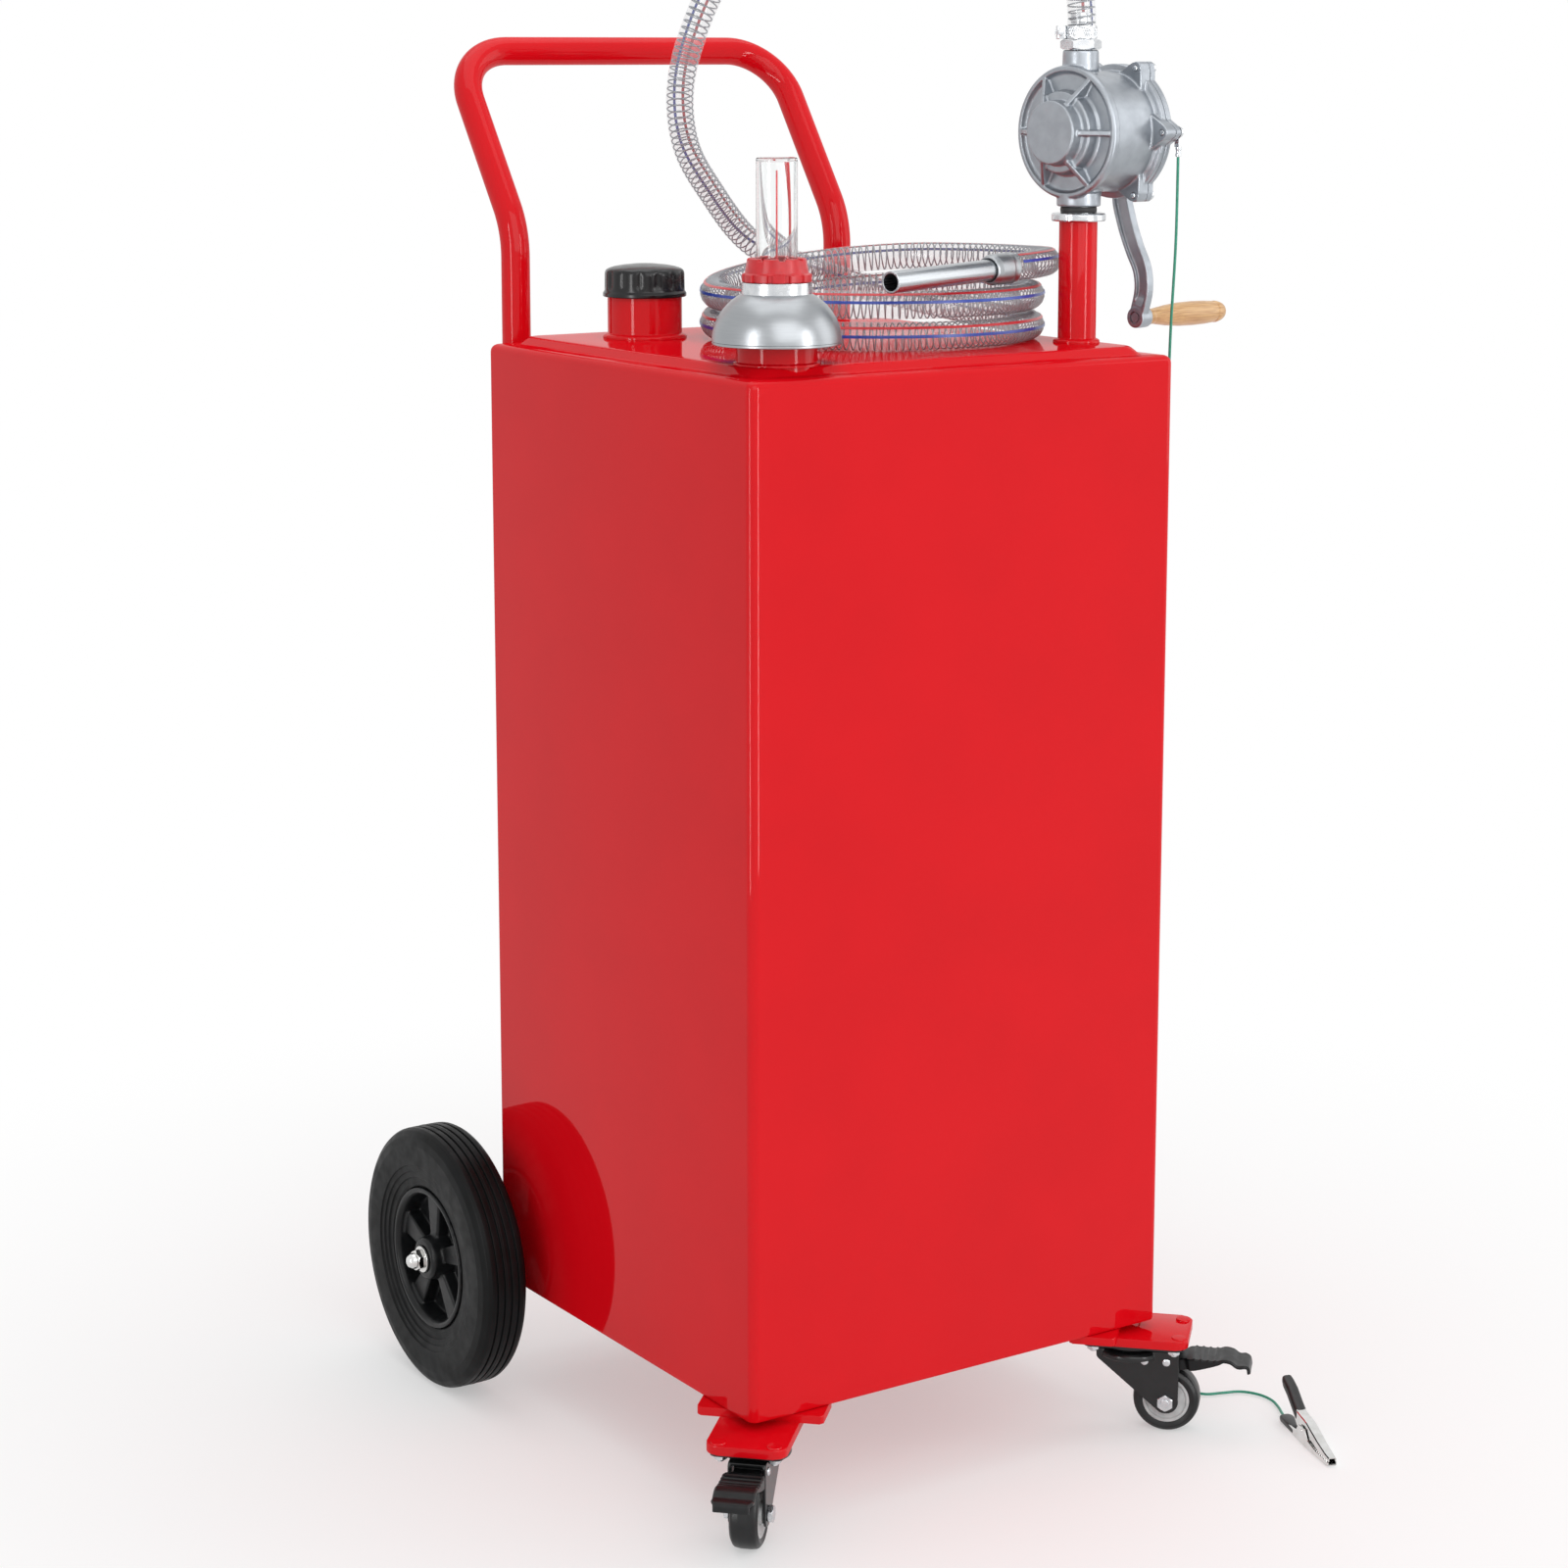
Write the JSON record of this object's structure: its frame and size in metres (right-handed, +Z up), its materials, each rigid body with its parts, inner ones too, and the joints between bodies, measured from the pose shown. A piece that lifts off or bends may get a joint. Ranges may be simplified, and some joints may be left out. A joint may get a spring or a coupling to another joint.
{
  "type": "fuel caddy",
  "caption": "Upright steel fuel tank on rear wheels and swivel casters, with a hand-cranked pump, coiled hose, level gauge and push handle.",
  "frame": {"origin": "on the floor under the middle of the caddy's box, hose and ground lead left out", "axes": "+X to the caddy's right, -Y towards the front panel and the casters, +Z up"},
  "size_m": [0.6464, 0.7128, 1.3568],
  "materials": {
    "red_enamel": "glossy stoved enamel",
    "red_plastic": "moulded, semi-gloss",
    "black_rubber": "moulded, matt",
    "tyre_rubber": "moulded, matt",
    "caster_rubber": "moulded, satin",
    "black_plastic": "moulded, fine grain",
    "grey_plastic": "machined",
    "black_steel": "black coating, semi-gloss",
    "cast_aluminium": "die cast and tumbled",
    "satin_aluminium": "satin",
    "zinc_plate": "bright zinc plating",
    "bright_plate": "nickel plating",
    "clear_tube": "clear acrylic",
    "clear_hose": "clear vinyl with a steel helix",
    "light_wood": "turned and varnished",
    "green_wire": "extruded vinyl"
  },
  "bodies": {
    "root": {"tank_body": "red_enamel", "tank_top": "red_enamel", "tank_bottom": "red_enamel", "filler_neck": "red_enamel", "gauge_neck": "red_enamel", "gauge_dome": "satin_aluminium", "gauge_collar": "zinc_plate", "gauge_ring_nut": "red_plastic", "sight_tube": "clear_tube", "standpipe": "red_enamel", "suction_tube": "zinc_plate", "lock_ring": "zinc_plate", "pipe_seal": "black_rubber", "pump_body": "cast_aluminium", "pump_back_cover": "cast_aluminium", "cover_screw_1": "zinc_plate", "cover_screw_2": "zinc_plate", "cover_screw_3": "zinc_plate", "cover_screw_4": "zinc_plate", "cover_screw_5": "zinc_plate", "cover_screw_6": "zinc_plate", "hose_nipple": "zinc_plate", "hose_clamp": "zinc_plate", "hose_run": "clear_hose", "hose_coil": "clear_hose", "nozzle_sleeve": "satin_aluminium", "nozzle_tube": "satin_aluminium", "ground_terminal": "zinc_plate", "ground_wire": "green_wire", "clip_lower": "bright_plate", "handle_tube": "red_enamel", "axle": "zinc_plate", "axle_carrier": "red_enamel", "axle_nut_left": "bright_plate", "axle_nut_right": "bright_plate", "caster_bracket_left": "red_enamel", "caster_bracket_right": "red_enamel", "caster_plate_left": "black_steel", "caster_plate_right": "black_steel"},
    "crank": {"pump_shaft": "zinc_plate", "pump_rotor": "zinc_plate", "pump_vane": "grey_plastic", "crank_arm": "cast_aluminium"},
    "grip": {"crank_grip": "light_wood"},
    "cap": {"filler_cap": "black_plastic", "cap_gasket": "black_rubber"},
    "float": {"gauge_float": "red_plastic"},
    "clip_jaw": {"clip_upper": "bright_plate"},
    "rear_wheel_left": {"tyre_left": "tyre_rubber", "wheel_hub_left": "black_plastic"},
    "rear_wheel_right": {"tyre_right": "tyre_rubber", "wheel_hub_right": "black_plastic"},
    "caster_left": {"caster_fork_left": "black_steel", "caster_bolt_left": "zinc_plate"},
    "caster_left_wheel": {"caster_wheel_left": "caster_rubber"},
    "caster_left_pedal": {"brake_pedal_left": "black_plastic"},
    "caster_right": {"caster_fork_right": "black_steel", "caster_bolt_right": "zinc_plate"},
    "caster_right_wheel": {"caster_wheel_right": "caster_rubber"},
    "caster_right_pedal": {"brake_pedal_right": "black_plastic"}
  },
  "joints": [
    {"name": "rear_wheel_left_spin", "type": "hinge", "parent": "root", "child": "rear_wheel_left", "pos_m": [-0.28465, 0.19706, 0.1175], "axis": [1, 0, 0], "continuous": true},
    {"name": "rear_wheel_right_spin", "type": "hinge", "parent": "root", "child": "rear_wheel_right", "pos_m": [0.22295, 0.19706, 0.1175], "axis": [1, 0, 0], "continuous": true},
    {"name": "caster_left_swivel", "type": "hinge", "parent": "root", "child": "caster_left", "pos_m": [-0.22529, -0.22688, 0.07], "axis": [0, 0, 1], "continuous": true},
    {"name": "caster_right_swivel", "type": "hinge", "parent": "root", "child": "caster_right", "pos_m": [0.16359, -0.22688, 0.07], "axis": [0, 0, 1], "continuous": true},
    {"name": "caster_left_spin", "type": "hinge", "parent": "caster_left", "child": "caster_left_wheel", "pos_m": [-0.24842, -0.25, 0.029], "axis": [0.7071, -0.7071, 0], "continuous": true},
    {"name": "caster_right_spin", "type": "hinge", "parent": "caster_right", "child": "caster_right_wheel", "pos_m": [0.18671, -0.25, 0.029], "axis": [0.7071, 0.7071, 0], "continuous": true},
    {"name": "caster_left_brake", "type": "hinge", "parent": "caster_left", "child": "caster_left_pedal", "pos_m": [-0.24863, -0.25022, 0.065], "axis": [0.7071, -0.7071, 0], "range_deg": [0, 8], "stiffness_Nm_per_rad": 2, "springref_deg": -11.46},
    {"name": "caster_right_brake", "type": "hinge", "parent": "caster_right", "child": "caster_right_pedal", "pos_m": [0.18693, -0.25022, 0.065], "axis": [0.7071, 0.7071, 0], "range_deg": [0, 8], "stiffness_Nm_per_rad": 2, "springref_deg": -11.46},
    {"name": "crank_turn", "type": "hinge", "parent": "root", "child": "crank", "pos_m": [0.12236, -0.1646, 1.1197], "axis": [0.9877, 0.1564, 0], "continuous": true},
    {"name": "grip_spin", "type": "hinge", "parent": "crank", "child": "grip", "pos_m": [0.12236, -0.1646, 0.9617], "axis": [0.9877, 0.1564, 0], "continuous": true},
    {"name": "cap_lift", "type": "slide", "parent": "root", "child": "cap", "axis": [0, 0, 1], "range_m": [0, 0.06]},
    {"name": "float_travel", "type": "slide", "parent": "root", "child": "float", "axis": [0, 0, 1], "range_m": [-0.082, 0]},
    {"name": "clip_open", "type": "hinge", "parent": "root", "child": "clip_jaw", "pos_m": [0.2648, -0.34649, 0.0123], "axis": [-0.9438, 0.3305, 0], "range_deg": [0, 20], "stiffness_Nm_per_rad": 0.4, "springref_deg": -17.19}
  ]
}
